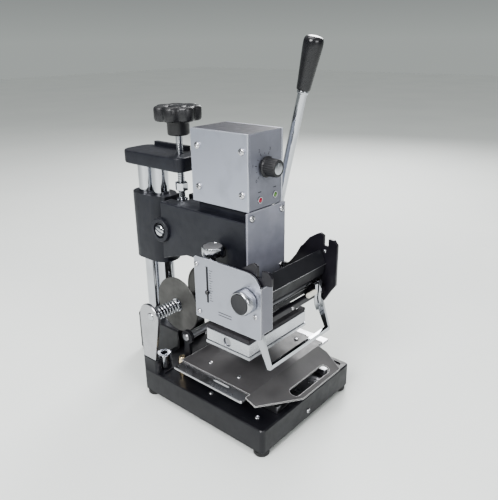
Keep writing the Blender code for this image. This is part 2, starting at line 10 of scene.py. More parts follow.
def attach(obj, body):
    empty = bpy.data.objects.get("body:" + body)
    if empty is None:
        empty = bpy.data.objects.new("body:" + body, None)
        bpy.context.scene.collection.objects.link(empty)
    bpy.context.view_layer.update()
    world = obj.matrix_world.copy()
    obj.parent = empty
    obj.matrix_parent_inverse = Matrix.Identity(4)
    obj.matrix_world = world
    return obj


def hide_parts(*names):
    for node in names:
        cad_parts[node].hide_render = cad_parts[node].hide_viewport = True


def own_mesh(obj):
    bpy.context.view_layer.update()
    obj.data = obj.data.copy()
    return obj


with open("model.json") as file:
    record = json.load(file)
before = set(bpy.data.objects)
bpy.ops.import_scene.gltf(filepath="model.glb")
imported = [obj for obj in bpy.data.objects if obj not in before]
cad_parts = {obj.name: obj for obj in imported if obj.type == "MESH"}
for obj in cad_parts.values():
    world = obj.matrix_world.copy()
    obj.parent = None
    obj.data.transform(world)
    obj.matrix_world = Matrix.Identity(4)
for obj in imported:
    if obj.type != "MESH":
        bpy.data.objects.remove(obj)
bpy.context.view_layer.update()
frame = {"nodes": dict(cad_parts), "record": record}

MM = 0.001
DY = -38.25                      # the CAD's shift from machine axes to the world, in Y
SCREW_AXIS = (0, 95)             # x, y of the lift screw
RELEASE_AXIS = (-44, 5)          # x, y of the release knob's rod
FEED_AXIS = (-55, 158)           # y, z of the feed shaft
SPOOL_AXIS = (70, 105.5)         # y, z of the foil spool's shaft
DIAL_AXIS = (-2, 273.5)          # x, z of the temperature dial
LEVER_PIVOT = (55, 5, 184)       # middle of the lever arm's hub
LEVER_TILT = 13.5                # degrees from upright, towards the operator
DIAL_FACE_Y = -29.43             # printed marks on the control box, just clear of its front
GUIDE_FACE_X = -60.03            # printed marks on the guide plate, just clear of its left side
SHARP_ANGLE = 35                 # degrees; an edge that turns further stays sharp
BODY_OF = {n: b for b, nodes in frame["record"]["behaviour"]["bodies"].items() for n in nodes}
finishes = {}


# ---- mesh helpers: machine axes, millimetres -------------------------------------------
def place(point):
    """A point in machine axes and millimetres, as a world position in metres."""
    return Vector((point[0], point[1] + DY, point[2])) * MM


def across(axis, along, u, v):
    """The point at along on an axis, and at u, v on the other two in their usual order."""
    if axis == "X":
        return (along, u, v)
    if axis == "Y":
        return (u, along, v)
    return (u, v, along)


def skin(shape, rings, closed=False):
    """Faces between rings of vertices, with both ends capped or joined to each other."""
    pairs = list(zip(rings, rings[1:]))
    if closed:
        pairs.append((rings[-1], rings[0]))
    else:
        shape.faces.new(rings[0])
        shape.faces.new(rings[-1])
    for a, b in pairs:
        for i in range(len(a)):
            j = (i + 1) % len(a)
            shape.faces.new((a[i], a[j], b[j], b[i]))
    return shape


def turned(profile, axis, u, v, count=64, closed=False, wobble=None):
    """Revolve (radius, along) points; wobble(angle, radius, along) can reshape the radius."""
    shape = bmesh.new()
    rings = []
    for radius, along in profile:
        ring = []
        for i in range(count):
            a = 2 * math.pi * i / count
            r = wobble(a, radius, along) if wobble else radius
            ring.append(shape.verts.new(across(axis, along, u + r * math.cos(a), v + r * math.sin(a))))
        rings.append(ring)
    return skin(shape, rings, closed)


def brick(x0, x1, y0, y1, z0, z1):
    """A box between two corners."""
    shape = bmesh.new()
    bmesh.ops.create_cube(shape, size=1.0)
    bmesh.ops.scale(shape, vec=(x1 - x0, y1 - y0, z1 - z0), verts=shape.verts)
    bmesh.ops.translate(shape, vec=((x0 + x1) / 2, (y0 + y1) / 2, (z0 + z1) / 2), verts=shape.verts)
    return shape


def to_mesh(name, shape, sharp=SHARP_ANGLE):
    """A smooth-shaded world mesh, sharp where its edges turn more than so many degrees."""
    bmesh.ops.recalc_face_normals(shape, faces=shape.faces)
    for vert in shape.verts:
        vert.co = place(vert.co)
    mesh = bpy.data.meshes.new(name)
    shape.to_mesh(mesh)
    shape.free()
    mesh.shade_smooth()
    mesh.set_sharp_from_angle(angle=math.radians(sharp))
    return mesh


def add(name, mesh, body, finish, replaces=(), bevel=0.0):
    """A piece that rides on a body, and may stand for CAD nodes."""
    piece = bpy.data.objects.new(name, mesh)
    bpy.context.scene.collection.objects.link(piece)
    mesh.materials.clear()
    mesh.materials.append(finishes[finish])
    if bevel:
        soften(piece, bevel)
    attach(piece, body)
    if replaces:
        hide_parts(*replaces)
    return piece


def soften(piece, width):
    """A small round on a piece's sharp edges."""
    step = piece.modifiers.new("edges", "BEVEL")
    step.width = width * MM
    step.segments = 2
    step.limit_method = "ANGLE"
    step.angle_limit = math.radians(38)
    step.harden_normals = True


def bake(piece):
    """A new mesh with the object's modifiers applied."""
    graph = bpy.context.evaluated_depsgraph_get()
    return bpy.data.meshes.new_from_object(piece.evaluated_get(graph))


def cut(mesh, shapes):
    """The mesh with bmesh shapes taken out of it."""
    piece = bpy.data.objects.new("blank", mesh)
    bpy.context.scene.collection.objects.link(piece)
    tools = []
    for shape in shapes:
        tool = bpy.data.objects.new("tool", to_mesh("tool", shape))
        bpy.context.scene.collection.objects.link(tool)
        tools.append(tool)
        step = piece.modifiers.new("cut", "BOOLEAN")
        step.operation = "DIFFERENCE"
        step.solver = "EXACT"
        step.object = tool
    result = bake(piece)
    for item in tools + [piece]:
        bpy.data.objects.remove(item, do_unlink=True)
    result.shade_smooth()
    result.set_sharp_from_angle(angle=math.radians(SHARP_ANGLE))
    return result


def refined(node, finish, bevel=0.0):
    """A smooth-shaded copy of a CAD node, with softened edges where bevel gives a width."""
    shape = bmesh.new()
    shape.from_mesh(frame["nodes"][node].data)
    bmesh.ops.remove_doubles(shape, verts=shape.verts, dist=1e-6)
    bmesh.ops.dissolve_limit(shape, angle_limit=math.radians(1), verts=shape.verts, edges=shape.edges)
    mesh = bpy.data.meshes.new(node)
    shape.to_mesh(mesh)
    shape.free()
    mesh.shade_smooth()
    mesh.set_sharp_from_angle(angle=math.radians(33))
    piece = add(node + "_look", mesh, BODY_OF[node], finish, (node,), bevel)
    if not bevel:
        shading = piece.modifiers.new("shading", "WEIGHTED_NORMAL")
        shading.keep_sharp = True


# ---- finishes --------------------------------------------------------------------------
class Finish:
    """One procedural material, with small helpers for its nodes."""

    MIX_FACTOR, MIX_A, MIX_B, MIX_RESULT = 0, 6, 7, 2     # the Mix node's sockets for colours

    def __init__(self, name, colour, rough, metal=0.0, coat=0.0):
        self.mat = bpy.data.materials.new(name)
        self.mat.use_nodes = True
        self.tree = self.mat.node_tree
        self.shader = self.tree.nodes["Principled BSDF"]
        self.put("Base Color", (*colour, 1))
        self.put("Roughness", rough)
        self.put("Metallic", metal)
        self.put("Coat Weight", coat)
        self.put("Coat Roughness", 0.15)
        self.colour = (*colour, 1)
        self.where = self.node("ShaderNodeTexCoord").outputs["Object"]
        self.bumps = None
        finishes[name] = self.mat

    def put(self, socket, value):
        """Set one of the shader's own values."""
        self.shader.inputs[socket].default_value = value

    def node(self, kind, **settings):
        """A new node, with its properties or inputs set by name."""
        made = self.tree.nodes.new(kind)
        for key, value in settings.items():
            if hasattr(made, key):
                setattr(made, key, value)
            else:
                made.inputs[key.replace("_", " ").title()].default_value = value
        return made

    def link(self, source, target):
        self.tree.links.new(source, target)

    def noise(self, scale, detail=3.0, stretch=(1, 1, 1)):
        """Noise over the object, in features to the metre."""
        mapping = self.node("ShaderNodeMapping")
        mapping.inputs["Scale"].default_value = stretch
        self.link(self.where, mapping.inputs["Vector"])
        made = self.node("ShaderNodeTexNoise", scale=scale, detail=detail)
        self.link(mapping.outputs[0], made.inputs["Vector"])
        return made.outputs["Fac"]

    def cells(self, scale):
        """Soft round cells over the object."""
        made = self.node("ShaderNodeTexVoronoi", feature="SMOOTH_F1", scale=scale)
        self.link(self.where, made.inputs["Vector"])
        return made.outputs["Distance"]

    def span(self, source, low, high, frm=0.3, to=0.7):
        """A pattern's values from frm to to, stretched to run from low to high."""
        made = self.node("ShaderNodeMapRange")
        for socket, value in (("From Min", frm), ("From Max", to), ("To Min", low), ("To Max", high)):
            made.inputs[socket].default_value = value
        self.link(source, made.inputs[0])
        return made.outputs[0]

    def bump(self, source, strength, distance):
        """Relief from a pattern, so many millimetres high, over any relief already there."""
        made = self.node("ShaderNodeBump")
        made.inputs["Strength"].default_value = strength
        made.inputs["Distance"].default_value = distance * MM
        self.link(source, made.inputs["Height"])
        if self.bumps:
            self.link(self.bumps, made.inputs["Normal"])
        self.bumps = made.outputs[0]
        self.link(self.bumps, self.shader.inputs["Normal"])
        return self

    def rough(self, source, low, high, frm=0.3, to=0.7):
        """Roughness from low to high by a pattern."""
        self.link(self.span(source, low, high, frm, to), self.shader.inputs["Roughness"])
        return self

    def tint(self, source, other, frm=0.35, to=0.7):
        """Blend the base colour towards another by a pattern."""
        mix = self.node("ShaderNodeMix", data_type="RGBA")
        current = self.shader.inputs["Base Color"]
        if current.is_linked:
            self.link(current.links[0].from_socket, mix.inputs[self.MIX_A])
        else:
            mix.inputs[self.MIX_A].default_value = self.colour
        mix.inputs[self.MIX_B].default_value = (*other, 1)
        self.link(self.span(source, 0, 1, frm, to), mix.inputs[self.MIX_FACTOR])
        self.link(mix.outputs[self.MIX_RESULT], current)
        return self

    def facing(self, axis, sign, other):
        """Painted shade on faces that look along an axis: another colour where the normal points that
        way.
        """
        geometry = self.node("ShaderNodeNewGeometry")
        parts = self.node("ShaderNodeSeparateXYZ")
        self.link(geometry.outputs["Normal"], parts.inputs[0])
        return self.tint(parts.outputs[axis], other, 0.6 * sign, 0.9 * sign)

    def beyond(self, axis, start, end, other):
        """Painted shade past a place along an axis, in millimetres."""
        parts = self.node("ShaderNodeSeparateXYZ")
        self.link(self.where, parts.inputs[0])
        return self.tint(parts.outputs[axis], other, start * MM, end * MM)

    def wear_and_edge_highlight(self, other, radius=0.6, broken=True):
        """Lighter colour on exposed edges: in patches it is wear; as an unbroken line it is a painted
        highlight.
        """
        edge = self.node("ShaderNodeBevel", samples=4)
        edge.inputs["Radius"].default_value = radius * MM
        geometry = self.node("ShaderNodeNewGeometry")
        dot = self.node("ShaderNodeVectorMath", operation="DOT_PRODUCT")
        self.link(edge.outputs[0], dot.inputs[0])
        self.link(geometry.outputs["Normal"], dot.inputs[1])
        away = self.span(dot.outputs["Value"], 1, 0, 0.8, 0.985)
        # an unbroken line: a painted highlight along every sharp edge
        if not broken:
            return self.tint(away, other, 0, 1)
        patchy = self.node("ShaderNodeMath", operation="MULTIPLY")
        self.link(away, patchy.inputs[0])
        self.link(self.span(self.noise(260, 4), 0, 1, 0.45, 0.65), patchy.inputs[1])
        return self.tint(patchy.outputs[0], other, 0, 1)


def metal(name, colour, rough, scratch=0.05, stretch=(1, 1, 1), grain=900, strength=0.05):
    """Bare or plated metal with smudges and a fine grain, drawn out where stretch says."""
    f = Finish(name, colour, rough, 1.0)
    lines = f.noise(grain, 4, stretch)
    smudge = f.noise(38, 3)
    dark = tuple(c * 0.72 for c in colour)
    f.tint(smudge, dark, 0.55, 1.1).rough(smudge, max(0.03, rough - scratch), rough + scratch)
    return f.bump(lines, strength, 0.02)


def paint(name, colour, rough, wear=None, speck=0.5, size=700):
    """Paint with a cellular relief, faint mottling and, if asked, patchy wear on its edges."""
    f = Finish(name, colour, rough)
    light = tuple(min(1, c * 1.5 + 0.004) for c in colour)
    f.tint(f.noise(45, 4), light, 0.45, 1.0)
    f.rough(f.noise(120, 4), rough - 0.06, rough + 0.08)
    f.bump(f.cells(size), speck, 0.08)
    f.bump(f.noise(2200, 2), 0.12, 0.03)
    if wear:
        f.wear_and_edge_highlight(wear)
    return f


def make_paints():
    black_wear, grey_wear = (0.08, 0.08, 0.09), (0.4, 0.4, 0.42)
    paint("hammered_black", (0.010, 0.011, 0.017), 0.44, (0.10, 0.10, 0.11), 0.7, 620)
    paint("base_black", (0.006, 0.006, 0.009), 0.40, black_wear, 0.6, 700)
    paint("sheet_black", (0.008, 0.007, 0.011), 0.34, black_wear, 0.12, 1500)
    paint("apron_black", (0.005, 0.005, 0.008), 0.5, black_wear, 0.12, 1500)
    shell = paint("box_grey", (0.15, 0.155, 0.185), 0.42, grey_wear, 0.12, 1800)
    # painted shade: the box's upward-facing faces are darkened
    shell.facing(2, 1, (0.035, 0.035, 0.045))
    # the front cover's edges get an unbroken painted highlight
    paint("cover_grey", (0.19, 0.195, 0.235), 0.40, None, 0.12, 1800).wear_and_edge_highlight((0.6, 0.6, 0.63), 0.8, False)
    paint("cap_grey", (0.018, 0.018, 0.021), 0.42, None, 0.1, 1500)
    paint("top_grey", (0.13, 0.13, 0.135), 0.35, None, 0.1, 1500)
    paint("roller_white", (0.62, 0.61, 0.55), 0.4, None, 0.1, 1500)
    # the work table's edges, its lip and slot among them, get an unbroken painted highlight
    paint("table_grey", (0.060, 0.058, 0.060), 0.36, None, 0.15, 1500).wear_and_edge_highlight((0.8, 0.8, 0.8), 0.9, False)
    paint("print_white", (0.75, 0.75, 0.76), 0.6, None, 0.05, 2500)
    paint("print_dark", (0.02, 0.02, 0.025), 0.6, None, 0.05, 2500)
    paint("insulation", (0.030, 0.028, 0.033), 0.7, None, 0.3, 900)


def make_metals():
    metal("chrome", (0.50, 0.51, 0.54), 0.08, 0.03)
    metal("chrome_worn", (0.48, 0.49, 0.52), 0.18, 0.07)
    # painted highlight for the apron's crease
    metal("painted_highlight_metal", (0.5, 0.5, 0.52), 0.3, 0.05)
    metal("dark_steel", (0.13, 0.13, 0.14), 0.3, 0.06)
    metal("screw_steel", (0.60, 0.60, 0.62), 0.2, 0.08)
    metal("brass", (0.72, 0.60, 0.42), 0.25, 0.1)
    metal("zinc", (0.45, 0.45, 0.47), 0.27, 0.07, (1, 1, 1), 320, 0.08)
    metal("milled", (0.56, 0.57, 0.60), 0.25, 0.08, (2, 40, 40), 110, 0.16)
    metal("steel", (0.40, 0.40, 0.42), 0.32, 0.06, (1, 14, 14), 260, 0.12)
    shaft = metal("shaft_steel", (0.40, 0.40, 0.42), 0.32, 0.06, (1, 14, 14), 260, 0.12)
    # painted shade: the shaft's left end, past x = -26 mm, is darkened almost to black
    shaft.beyond(0, -26, -29, (0.012, 0.012, 0.015))
    guide = metal("guide_silver", (0.40, 0.41, 0.46), 0.38, 0.04, (60, 1, 1), 120, 0.04)
    # painted shade on the guide plate's faces that look to the front, and an unbroken painted highlight
    # on its edges
    guide.facing(1, -1, (0.20, 0.20, 0.23)).wear_and_edge_highlight((0.9, 0.9, 0.93), 0.8, False)
    panel = metal("panel_silver", (0.50, 0.52, 0.60), 0.42, 0.04, (60, 1, 1), 120, 0.05)
    # the side covers' edges get an unbroken painted highlight
    panel.wear_and_edge_highlight((0.95, 0.95, 0.98), 0.9, False)


def make_moulded():
    """Plastics, rubber, the circuit board and the lamps' lenses."""
    for name, colour, rough in (("plastic_gloss", (0.010, 0.010, 0.012), 0.22),
                                ("plastic_satin", (0.014, 0.014, 0.016), 0.40),
                                ("disc_plastic", (0.055, 0.054, 0.052), 0.50)):
        f = Finish(name, colour, rough, 0.0, 0.1)
        f.tint(f.noise(60, 3), tuple(c * 1.6 for c in colour), 0.45, 0.8)
        f.rough(f.noise(150, 4), rough - 0.06, rough + 0.1).bump(f.noise(1400, 3), 0.1, 0.05)
    f = Finish("rubber", (0.017, 0.017, 0.018), 0.62)
    f.tint(f.noise(80, 4), (0.04, 0.04, 0.042), 0.4, 0.75)
    f.rough(f.noise(220, 3), 0.5, 0.8).bump(f.noise(900, 5), 0.35, 0.06)
    f = Finish("board_green", (0.02, 0.12, 0.05), 0.4, 0.0, 0.3)
    f.tint(f.cells(500), (0.03, 0.2, 0.09), 0.2, 0.5).bump(f.noise(500, 3), 0.2, 0.05)
    for name, colour in (("lamp_red", (0.45, 0.01, 0.05)), ("lamp_green", (0.12, 0.26, 0.06))):
        f = Finish(name, colour, 0.12, 0.0, 0.5)
        f.put("Transmission Weight", 0.35)
        f.put("Emission Color", (*colour, 1))
        f.put("Emission Strength", 0.06)
        f.tint(f.noise(300, 2), tuple(c * 0.6 for c in colour)).bump(f.noise(900, 2), 0.06, 0.03)


# ---- CAD nodes whose shape is right ---------------------------------------------------
PLAIN = {                        # node: its finish, and the width of its softened edges in mm
    "base_tray": ("base_black", 0), "column_foot": ("base_black", 0),
    "top_yoke": ("hammered_black", 0), "head_casting": ("hammered_black", 0),
    "front_cover": ("cover_grey", 0), "control_box_shell": ("box_grey", 0.25),
    "box_cover_left": ("panel_silver", 0), "box_cover_right": ("panel_silver", 0),
    "controller_board": ("board_green", 0), "cord_gland": ("plastic_satin", 0),
    "switch_housing": ("plastic_satin", 0.3), "switch_rocker": ("plastic_gloss", 0.35),
    "swivel_nut": ("chrome", 0), "lock_nut": ("chrome", 0.2),
    "foil_bridge": ("sheet_black", 0), "side_plate_left": ("sheet_black", 0.35),
    "side_plate_right": ("sheet_black", 0.35), "guide_plate": ("guide_silver", 0.5),
    "front_apron": ("apron_black", 0.35), "tension_bar": ("sheet_black", 0),
    "foil_bail": ("chrome", 0.35), "feed_slider": ("plastic_gloss", 0),
    "lever_arm": ("chrome", 0), "lever_shaft": ("shaft_steel", 0), "drive_pinion": ("steel", 0.2),
    "ram_rack": ("steel", 0.25), "insulation_board": ("insulation", 0),
    "heater_block": ("milled", 0), "die_plate": ("milled", 0), "cartridge_heater": ("steel", 0),
    "spool_bracket_left": ("zinc", 0), "spool_bracket_right": ("zinc", 0),
    "spool_shaft": ("chrome", 0), "rear_guide_rod": ("steel", 0), "slide_rails": ("steel", 0.3),
    "carriage_block": ("milled", 0), "carriage_plate": ("zinc", 0), "work_table": ("table_grey", 0.35),
    "stop_pillar": ("brass", 0), "stop_clamp": ("chrome_worn", 0.3),
    "foot_front_left": ("rubber", 0), "foot_front_right": ("rubber", 0),
    "foot_rear_left": ("rubber", 0), "foot_rear_right": ("rubber", 0),
    "feed_roller": ("rubber", 0.3), "nip_roller": ("dark_steel", 0),
}


def dress_plain_nodes():
    for node, (finish, bevel) in PLAIN.items():
        refined(node, finish, bevel)


# ---- round pieces, remade smoother ------------------------------------------------------
def stand_for(node, mesh, finish):
    """A remade piece in place of its CAD node."""
    return add(node + "_look", mesh, BODY_OF[node], finish, (node,))


def make_columns():
    for node, y in (("column_front", 132), ("column_rear", 157)):
        profile = [(9.2, 30.4), (10, 31.2), (10, 265.9), (9.2, 266.7)]
        stand_for(node, to_mesh(node, turned(profile, "Z", 0, y, 80)), "chrome")


def make_lift_screw():
    """A rolled thread: a helical ridge round the rod, between its plain ends."""
    low, high, layer, count = 208.0, 307.6, 0.5, 24
    thread_low, thread_high, pitch = 209, 284, 2.0
    root, ridge, plain = 3.55, 0.42, 3.9
    shape = bmesh.new()
    rings = []
    steps = int((high - low) / layer)
    for i in range(steps + 1):
        along = low + (high - low) * i / steps
        threaded = thread_low <= along <= thread_high
        ring = []
        for k in range(count):
            a = 2 * math.pi * k / count
            wave = abs(((along / pitch - k / count) % 1.0) - 0.5) * 2
            r = root + ridge * wave if threaded else plain
            x, y = SCREW_AXIS[0] + r * math.cos(a), SCREW_AXIS[1] + r * math.sin(a)
            ring.append(shape.verts.new((x, y, along)))
        rings.append(ring)
    stand_for("lift_screw", to_mesh("lift_screw", skin(shape, rings), 60), "chrome_worn")


def make_star_knob():
    """Seven rounded lobes with a dished top and a moulded hub."""
    lobes, hub_top, hub_radius = 7, 307.9, 12

    def lobed(a, r, along):
        if along <= hub_top:
            return r
        depth = max(0.0, min(1.0, (r - hub_radius) / 10))
        return r + depth * (2.0 * math.cos(lobes * a) - 0.35 * math.cos(2 * lobes * a))

    profile = [(4.5, 308.3), (4.5, 292.2), (11.2, 292.2), (12.2, 293), (12.4, 294.5), (12.4, 304),
               (13, 306.5), (14.5, 308), (22.2, 308), (24, 308.8), (24.8, 310.4), (24.8, 321),
               (24.1, 322.8), (22.6, 323.8), (20, 324), (15, 323.5), (12.2, 322.2), (11.4, 321.6),
               (10.8, 321.9), (5, 322.2)]
    knob = turned(profile, "Z", *SCREW_AXIS, 168, False, lobed)
    stand_for("star_knob", to_mesh("star_knob", knob, 50), "plastic_satin")
    cap = [(9.9, 322.3), (9.9, 323), (9.2, 323.5), (5, 323.8), (1, 323.9)]
    add("star_knob_cap", to_mesh("star_knob_cap", turned(cap, "Z", *SCREW_AXIS, 48)),
        "lift_screw", "plastic_gloss")


def make_grip():
    """Swelling grip and its collar, in heights along the lever's arm."""
    lean = Matrix.Rotation(math.radians(LEVER_TILT), 4, "X")
    to_lever = Matrix.Translation(LEVER_PIVOT) @ lean
    profile = [(5.3, 174.4), (5.3, 162.1), (6.4, 162), (6.9, 162.4), (7.15, 163.2), (7.35, 166),
               (7.7, 172), (8.3, 181), (8.95, 190), (9.6, 199), (9.95, 205), (9.95, 208.4),
               (9.6, 210.8), (8.7, 212.6), (7.0, 213.7), (4.5, 214.3), (2, 214.5), (0.6, 214.5)]
    grip = turned(profile, "Z", 0, 0, 72)
    bmesh.ops.transform(grip, matrix=to_lever, verts=grip.verts)
    stand_for("lever_grip", to_mesh("lever_grip", grip, 50), "plastic_gloss")
    edge = [(5.15, 158.5), (5.7, 158.7), (5.9, 159.2), (5.9, 161.2), (5.7, 161.7), (5.15, 161.9)]
    collar = turned(edge, "Z", 0, 0, 48, True)
    bmesh.ops.transform(collar, matrix=to_lever, verts=collar.verts)
    add("lever_collar", to_mesh("lever_collar", collar), "lever", "chrome")


def knurl(teeth, depth, low, high, axis_low, axis_high):
    """Grooves along a knob, where both the radius and the place along its axis are in range."""
    def shape(a, r, along):
        inside = low <= r <= high and axis_low <= along <= axis_high
        return r - (depth * (0.5 + 0.5 * math.cos(teeth * a)) if inside else 0)
    return shape


def make_dial():
    """Fluted knob with a skirt, a metal cap and a white pointer line."""
    profile = [(3, -24), (3, -31.8), (10.3, -31.8), (10.5, -32.1), (10.5, -33.1), (10.1, -33.5),
               (9.3, -34.2), (9.1, -36), (8.8, -45.6), (8.4, -46.5), (7.6, -47), (6.6, -46.9),
               (6.3, -46.5), (1, -46.5)]
    knob = turned(profile, "Y", *DIAL_AXIS, 144, False, knurl(24, 0.45, 8.7, 9.31, -46, -34))
    mesh = cut(to_mesh("dial_knob", knob, 40), [brick(-2.45, -1.55, -48, -46.2, 275, 279.5)])
    stand_for("dial_knob", mesh, "plastic_satin")
    disc = turned([(6.1, -46.45), (6.1, -46.75), (5.7, -46.95), (1, -46.95)], "Y", *DIAL_AXIS, 48)
    cap = cut(to_mesh("dial_cap", disc), [brick(-2.5, -1.5, -48, -46.3, 273.5, 280.5)])
    add("dial_cap", cap, "dial", "chrome_worn")
    line = brick(-2.35, -1.65, -46.62, -46.3, 273.7, 278.7)
    add("dial_pointer", to_mesh("dial_pointer", line), "dial", "print_white", (), 0.05)


def make_feed_knob():
    """Finely knurled knob with a raised dark cap."""
    profile = [(3.35, -68.2), (3.35, -60.5), (11.8, -60.5), (12.45, -61.1), (12.45, -70), (11.9, -71.2),
               (11.6, -71.8), (11.1, -72.1), (10.7, -72), (10.5, -71.4), (1, -71.4)]
    knob = turned(profile, "X", *FEED_AXIS, 240, False, knurl(60, 0.3, 12.4, 12.5, -71, -61))
    stand_for("feed_knob", to_mesh("feed_knob", knob, 40), "chrome")
    cap = [(10.3, -71.45), (10.3, -71.9), (9.9, -72.2), (9.3, -72.35), (8.9, -72.2), (1, -72.2)]
    add("feed_knob_cap", to_mesh("feed_knob_cap", turned(cap, "X", *FEED_AXIS, 64)), "feed", "cap_grey")


def make_release_knob():
    """Knurled knob on its rod, with a plain top."""
    profile = [(2.4, 151), (3, 151.6), (3, 183.5), (4.6, 183.9), (4.6, 184.6), (10.4, 184.7),
               (11.1, 185.4), (11.1, 193.4), (10.6, 194.2), (10.2, 194.4), (9.9, 194), (1, 193.9)]
    knob = turned(profile, "Z", *RELEASE_AXIS, 216, False, knurl(60, 0.4, 11.05, 11.15, 185.3, 193.5))
    stand_for("release_knob", to_mesh("release_knob", knob, 40), "chrome")
    top = turned([(9.8, 193.9), (9.8, 194.25), (9.5, 194.4), (1, 194.4)], "Z", *RELEASE_AXIS, 64)
    add("release_knob_top", to_mesh("release_knob_top", top), "release", "top_grey")


def make_spool():
    """Foil spool with two rimmed discs, and a collar outside each on the shaft."""
    profile = [(4.8, -39.5), (32.6, -39.5), (33, -39.1), (33, -37.9), (32.6, -37.5), (31, -37.5),
               (30.6, -37.9), (12, -37.9), (11, -37.5), (9, -37.4), (8.4, -36), (6.6, -34), (6.6, 5),
               (8.4, 6.6), (9, 7.9), (11, 8), (12, 8.4), (30.6, 8.4), (31, 8), (32.6, 8), (33, 8.4),
               (33, 9.6), (32.6, 10), (4.8, 10)]
    spool = turned(profile, "X", *SPOOL_AXIS, 96, True)
    stand_for("foil_spool", to_mesh("foil_spool", spool), "disc_plastic")
    for name, low, high in (("spool_collar_left", -40.3, -39.8), ("spool_collar_right", 10.3, 16.3)):
        edge = [(4.6, low), (7.6, low), (8, low + 0.2), (8, high - 0.2), (7.6, high), (4.6, high)]
        ring = turned(edge, "X", *SPOOL_AXIS, 48, True)
        add(name, to_mesh(name, ring), "spool", "chrome_worn")


def make_coil(node, axis, u, v, radius, wire, turns, low, high, finish):
    """A spring of round wire, where wire is the wire's radius."""
    shape = bmesh.new()
    around, sides = 28, 10
    total = int(turns * around)
    loops = []
    for i in range(total + 1):
        angle = 2 * math.pi * i / around
        middle = low + (high - low) * i / total
        loop = []
        for k in range(sides):
            b = 2 * math.pi * k / sides
            r, along = radius + wire * math.cos(b), middle + wire * math.sin(b)
            spot = across(axis, along, u + r * math.cos(angle), v + r * math.sin(angle))
            loop.append(shape.verts.new(spot))
        loops.append(loop)
    return stand_for(node, to_mesh(node, skin(shape, loops), 70), finish)


def make_springs():
    """The spool's brake spring, and the two that lift the ram; these two are drawn at one length,
    though the ram squashes them as it goes down, and get meshes of their own.
    """
    make_coil("spool_spring", "X", *SPOOL_AXIS, 6.5, 0.9, 8, -74, -41.3, "chrome")
    for side, x in (("left", -17), ("right", 17)):
        spring = make_coil(f"return_spring_{side}", "Z", x, -22.5, 3.4, 0.6, 7, 162.2, 205.2, "steel")
        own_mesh(spring)


def make_lamps():
    """Domed lenses in chromed bezels."""
    for name, x, z, finish in (("led_red", -10, 241, "lamp_red"), ("led_green", 14, 242, "lamp_green")):
        lens = [(2.5, -26), (2.5, -30), (2.3, -30.6), (1.8, -31.1), (1, -31.45), (0.3, -31.58)]
        stand_for(name, to_mesh(name, turned(lens, "Y", x, z, 32)), finish)
        edge = [(2.6, -29.5), (3.7, -29.5), (3.7, -30.1), (3.4, -30.5), (2.6, -30.5)]
        rim = turned(edge, "Y", x, z, 40, True)
        add(name + "_bezel", to_mesh(name + "_bezel", rim), "head", "chrome")


# ---- fasteners --------------------------------------------------------------------------
def screw_mesh(name, radius, recess="cross"):
    """A pan head with its drive recess, standing on the world's origin."""
    h = radius * 0.62
    profile = [(radius * 0.97, 0), (radius, h * 0.12), (radius, h * 0.42), (radius * 0.93, h * 0.66),
               (radius * 0.75, h * 0.86), (radius * 0.5, h * 0.97), (radius * 0.2, h)]
    if recess == "slot":
        arm, wide = radius * 2, radius * 0.13
        tools = [brick(-arm, arm, -wide, wide, h * 0.55, h * 2)]
    else:
        arm, wide = radius * 0.56, radius * 0.15
        tools = [brick(-arm, arm, -wide, wide, h * 0.4, h * 2),
                 brick(-wide, wide, -arm, arm, h * 0.4, h * 2)]
    mesh = cut(to_mesh(name, turned(profile, "Z", 0, 0, 32)), tools)
    mesh.transform(Matrix.Translation((0, -DY * MM, 0)))
    return mesh


FACING = {"+Z": Matrix.Identity(4), "-X": Matrix.Rotation(-math.pi / 2, 4, "Y"),
          "+X": Matrix.Rotation(math.pi / 2, 4, "Y"), "-Y": Matrix.Rotation(math.pi / 2, 4, "X")}


def fix(name, template, facing, spots, body="head", finish="screw_steel", turn=25):
    """Copies of a screw on a face, each with its recess 37 degrees on from the last."""
    for number, spot in enumerate(spots):
        mesh = template.copy()
        spin = Matrix.Rotation(math.radians(turn + 37 * number), 4, "Z")
        mesh.transform(Matrix.Translation(place(spot)) @ FACING[facing] @ spin)
        add(f"{name}_{number + 1}", mesh, body, finish)


def make_fasteners():
    pan = screw_mesh("pan", 3.7)
    small = screw_mesh("small_pan", 2.8)
    tiny = screw_mesh("tiny_pan", 2.0)
    slotted = screw_mesh("slotted", 7.0, "slot")
    box_corners = [(y, z) for y in (-22, 37.5) for z in (248, 290.5)]
    fix("left_cover_screw", pan, "-X", [(-27.55, y, z) for y, z in box_corners])
    fix("right_cover_screw", pan, "+X", [(27.55, y, z) for y, z in box_corners], turn=60)
    cover_corners = [(x, -30.65, z) for x in (-24, 24) for z in (162, 225)]
    fix("front_cover_screw", pan, "-Y", cover_corners, turn=10)
    fix("guide_plate_screw", small, "-X", [(-60.05, 13, 178), (-60.05, 11, 125), (-60.05, -65.2, 143)])
    fix("right_plate_screw", small, "+X", [(57.05, 9, 145), (57.05, 9, 123)])
    fix("inner_plate_screw", tiny, "-X", [(53.95, -66.8, 176.7), (53.95, -50, 146)])
    fix("bail_pivot_screw", small, "+X", [(57.05, -62, 122)])
    fix("clamp_screw", slotted, "-X", [(-32.05, 98.6, 188)], finish="chrome", turn=70)
    fix("heater_screw", pan, "+Z", [(x, y, 105.05) for x in (-40, 40) for y in (-40, 6)], "ram")
    table_spots = [(-50, 8.5, 57.62), (50, 8.5, 57.62), (-51, -34, 57.62), (51, -34, 57.62)]
    fix("table_screw", small, "+Z", table_spots, "carriage")
    fix("tray_screw", small, "+Z", [(x, y, 32.02) for x in (-64.5, 64.5) for y in (-70, -5)], "frame")
    fix("base_front_screw", small, "-Y", [(-3, -90.05, 15)], "frame")
    fix("tension_bar_screw", tiny, "-Y", [(x, -69.02, 132.6) for x in (-44, -6, 44)])


# ---- printed scales and small trim --------------------------------------------------------
def printed(name, mesh):
    """A thin dark mark on the head's panels."""
    add(name, mesh, "head", "print_dark")


